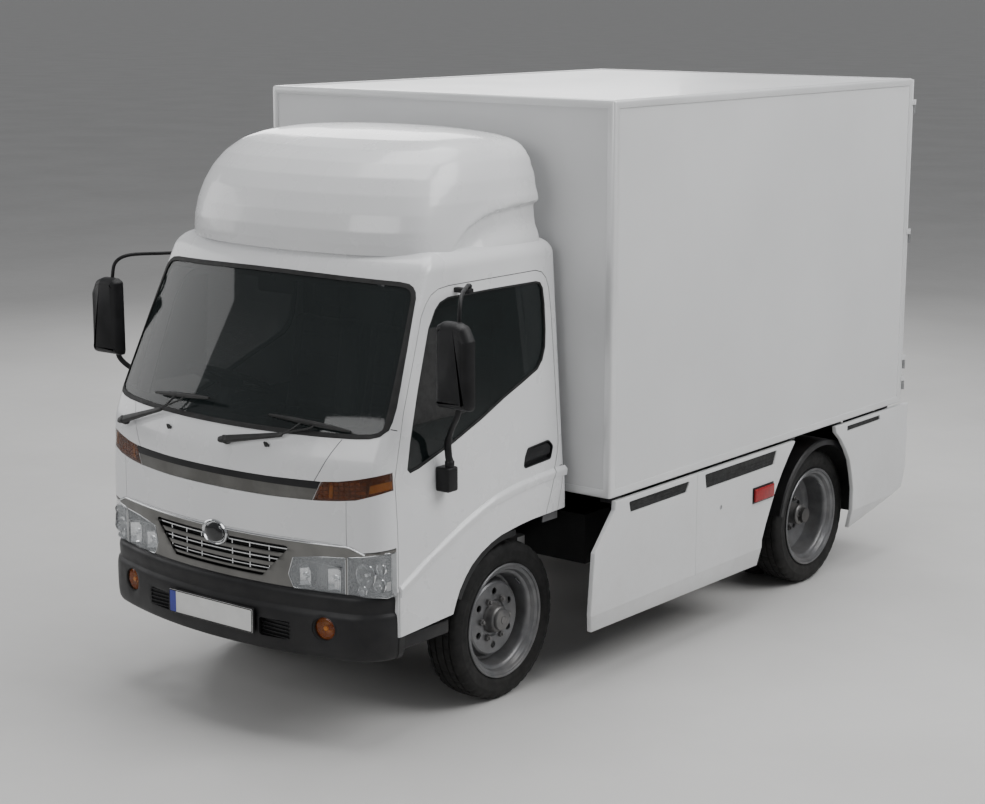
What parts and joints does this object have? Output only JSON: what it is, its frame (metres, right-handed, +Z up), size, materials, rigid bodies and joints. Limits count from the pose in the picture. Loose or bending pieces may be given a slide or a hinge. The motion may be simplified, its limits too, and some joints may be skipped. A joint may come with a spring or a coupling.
{
  "type": "delivery truck",
  "caption": "Light cab-over truck with a plain closed cargo box, side skirts, roof wind deflector, twin rear wheels and rear cargo doors.",
  "frame": {"origin": "on the ground, at the middle of the whole truck's footprint", "axes": "+Z up; -Y is the front of the truck; +X is the truck's left side"},
  "size_m": [2.3, 4.523, 2.717],
  "materials": {
    "cab_white": "gloss",
    "box_white": "composite panel, satin",
    "deck_wood": "plywood",
    "frame_paint": "satin black",
    "cast_metal": "rough",
    "steel": "brushed",
    "rim_steel": "satin grey",
    "tyre": "matt",
    "rubber": "matt",
    "black_plastic": "grained",
    "dash_plastic": "grained",
    "plate_white": "gloss",
    "aluminium": "satin",
    "chrome": "polished",
    "glass": "tinted",
    "lamp_clear": "clear",
    "amber_lens": "amber lens",
    "seat_fabric": "woven"
  },
  "bodies": {
    "truck": {"frame_rails": "frame_paint", "frame_crossmembers": "frame_paint", "front_axle_beam": "frame_paint", "leaf_springs": "frame_paint", "rear_axle_housing": "frame_paint", "engine_gearbox": "cast_metal", "prop_shaft": "steel", "fuel_tank": "frame_paint", "exhaust": "steel", "battery_box": "black_plastic", "front_bumper": "black_plastic", "number_plate": "plate_white", "signal_lamps": "amber_lens", "cab_mounts": "frame_paint", "box_floor": "deck_wood", "box_panels": "box_white", "box_trims": "aluminium", "box_rear_frame": "aluminium", "skirt_left": "box_white", "skirt_right": "box_white", "rear_bumper": "frame_paint"},
    "cab": {"cab_shell": "cab_white", "roof_fairing": "box_white", "windscreen": "glass", "front_trim": "chrome", "headlamps": "lamp_clear", "corner_lamps": "amber_lens", "dashboard": "dash_plastic", "steering_column": "black_plastic", "seat_passenger": "seat_fabric"},
    "driver_seat": {"seat_driver": "seat_fabric"},
    "accelerator": {"accelerator_pedal": "rubber"},
    "brake": {"brake_pedal": "rubber"},
    "gear_lever_body": {"gear_lever": "black_plastic"},
    "parking_brake": {"parking_brake_lever": "black_plastic"},
    "steering": {"steering_wheel": "dash_plastic"},
    "door_l": {"door_left": "cab_white"},
    "door_r": {"door_right": "cab_white"},
    "glass_l": {"door_glass_left": "glass"},
    "glass_r": {"door_glass_right": "glass"},
    "handle_l": {"door_handle_left": "black_plastic"},
    "handle_r": {"door_handle_right": "black_plastic"},
    "mirror_l": {"mirror_left": "black_plastic"},
    "mirror_r": {"mirror_right": "black_plastic"},
    "wiper_l": {"wiper_left": "black_plastic"},
    "wiper_r": {"wiper_right": "black_plastic"},
    "knuckle_l": {"knuckle_left": "cast_metal"},
    "knuckle_r": {"knuckle_right": "cast_metal"},
    "front_wheel_l": {"front_rim_left": "rim_steel", "front_tyre_left": "tyre"},
    "front_wheel_r": {"front_rim_right": "rim_steel", "front_tyre_right": "tyre"},
    "rear_wheel_l": {"rear_rim_left": "rim_steel", "rear_tyre_left": "tyre"},
    "rear_wheel_r": {"rear_rim_right": "rim_steel", "rear_tyre_right": "tyre"},
    "cargo_l": {"cargo_door_left": "box_white"},
    "cargo_r": {"cargo_door_right": "box_white"},
    "lock_l": {"lock_bar_left": "steel"},
    "lock_r": {"lock_bar_right": "steel"}
  },
  "joints": [
    {"name": "cab_tilt", "type": "hinge", "parent": "truck", "child": "cab", "pos_m": [0, -2.152, 0.712], "axis": [1, 0, 0], "range_deg": [0, 45]},
    {"name": "door_left_hinge", "type": "hinge", "parent": "cab", "child": "door_l", "pos_m": [0.845, -1.978, 1.1], "axis": [0, 0, -1], "range_deg": [0, 68]},
    {"name": "door_right_hinge", "type": "hinge", "parent": "cab", "child": "door_r", "pos_m": [-0.845, -1.978, 1.1], "axis": [0, 0, 1], "range_deg": [0, 68]},
    {"name": "window_left", "type": "slide", "parent": "door_l", "child": "glass_l", "axis": [0.0683, 0, -0.9977], "range_m": [0, 0.3]},
    {"name": "window_right", "type": "slide", "parent": "door_r", "child": "glass_r", "axis": [-0.0683, 0, -0.9977], "range_m": [0, 0.3]},
    {"name": "handle_left", "type": "hinge", "parent": "door_l", "child": "handle_l", "pos_m": [0.824, -0.99, 1.159], "axis": [0, -1, 0], "range_deg": [0, 18]},
    {"name": "handle_right", "type": "hinge", "parent": "door_r", "child": "handle_r", "pos_m": [-0.824, -0.99, 1.159], "axis": [0, 1, 0], "range_deg": [0, 18]},
    {"name": "mirror_left_fold", "type": "hinge", "parent": "door_l", "child": "mirror_l", "pos_m": [0.884, -1.685, 1.199], "axis": [-0.0443, 0.2282, 0.9726], "range_deg": [-15, 55]},
    {"name": "mirror_right_fold", "type": "hinge", "parent": "door_r", "child": "mirror_r", "pos_m": [-0.884, -1.685, 1.199], "axis": [-0.0443, -0.2282, -0.9726], "range_deg": [-15, 55]},
    {"name": "wiper_left_sweep", "type": "hinge", "parent": "cab", "child": "wiper_l", "pos_m": [0.085, -2.215, 1.294], "axis": [0.1288, -0.8836, 0.4502], "range_deg": [-85, 0]},
    {"name": "wiper_right_sweep", "type": "hinge", "parent": "cab", "child": "wiper_r", "pos_m": [-0.635, -2.142, 1.272], "axis": [-0.1908, -0.8746, 0.4456], "range_deg": [-85, 0]},
    {"name": "steer_left", "type": "hinge", "parent": "truck", "child": "knuckle_l", "pos_m": [0.64, -1.18, 0.37], "axis": [0, 0, 1], "range_deg": [-32, 32]},
    {"name": "steer_right", "type": "hinge", "parent": "truck", "child": "knuckle_r", "pos_m": [-0.64, -1.18, 0.37], "axis": [0, 0, 1], "range_deg": [-32, 32]},
    {"name": "steering_wheel_turn", "type": "hinge", "parent": "cab", "child": "steering", "pos_m": [-0.38, -1.729, 1.436], "axis": [0, 0.4179, 0.9085], "range_deg": [-512, 512]},
    {"name": "front_wheel_left_spin", "type": "hinge", "parent": "knuckle_l", "child": "front_wheel_l", "pos_m": [0.8, -1.18, 0.37], "axis": [1, 0, 0], "continuous": true},
    {"name": "front_wheel_right_spin", "type": "hinge", "parent": "knuckle_r", "child": "front_wheel_r", "pos_m": [-0.8, -1.18, 0.37], "axis": [1, 0, 0], "continuous": true},
    {"name": "rear_wheel_left_spin", "type": "hinge", "parent": "truck", "child": "rear_wheel_l", "pos_m": [0.9, 1.345, 0.37], "axis": [1, 0, 0], "continuous": true},
    {"name": "rear_wheel_right_spin", "type": "hinge", "parent": "truck", "child": "rear_wheel_r", "pos_m": [-0.9, 1.345, 0.37], "axis": [1, 0, 0], "continuous": true},
    {"name": "accelerator_press", "type": "hinge", "parent": "cab", "child": "accelerator", "pos_m": [-0.6, -2.075, 1.04], "axis": [-1, 0, 0], "range_deg": [0, 14]},
    {"name": "brake_press", "type": "hinge", "parent": "cab", "child": "brake", "pos_m": [-0.5, -2.075, 1.04], "axis": [-1, 0, 0], "range_deg": [0, 16]},
    {"name": "gear_select", "type": "hinge", "parent": "cab", "child": "gear_lever_body", "pos_m": [-0.14, -1.72, 1.048], "axis": [1, 0, 0], "range_deg": [-14, 14]},
    {"name": "parking_brake_pull", "type": "hinge", "parent": "cab", "child": "parking_brake", "pos_m": [-0.226, -1.546, 1.044], "axis": [-1, 0, 0], "range_deg": [0, 40]},
    {"name": "driver_seat_slide", "type": "slide", "parent": "cab", "child": "driver_seat", "axis": [0, 1, 0], "range_m": [-0.09, 0.06]},
    {"name": "cargo_door_left_hinge", "type": "hinge", "parent": "truck", "child": "cargo_l", "pos_m": [1.05, 2.198, 1.8], "axis": [0, 0, 1], "range_deg": [-180, 0]},
    {"name": "cargo_door_right_hinge", "type": "hinge", "parent": "truck", "child": "cargo_r", "pos_m": [-1.05, 2.198, 1.8], "axis": [0, 0, 1], "range_deg": [0, 180]},
    {"name": "lock_bar_left_turn", "type": "hinge", "parent": "cargo_l", "child": "lock_l", "pos_m": [0.09, 2.207, 1.455], "axis": [0, 0, 1], "range_deg": [0, 80]},
    {"name": "lock_bar_right_turn", "type": "hinge", "parent": "cargo_r", "child": "lock_r", "pos_m": [-0.09, 2.207, 1.455], "axis": [0, 0, 1], "range_deg": [-80, 0]}
  ],
  "couplings": [
    {"joint": "wiper_right_sweep", "follows": "wiper_left_sweep", "ratio": 1},
    {"joint": "steer_right", "follows": "steer_left", "ratio": 1},
    {"joint": "steering_wheel_turn", "follows": "steer_left", "ratio": 16}
  ]
}
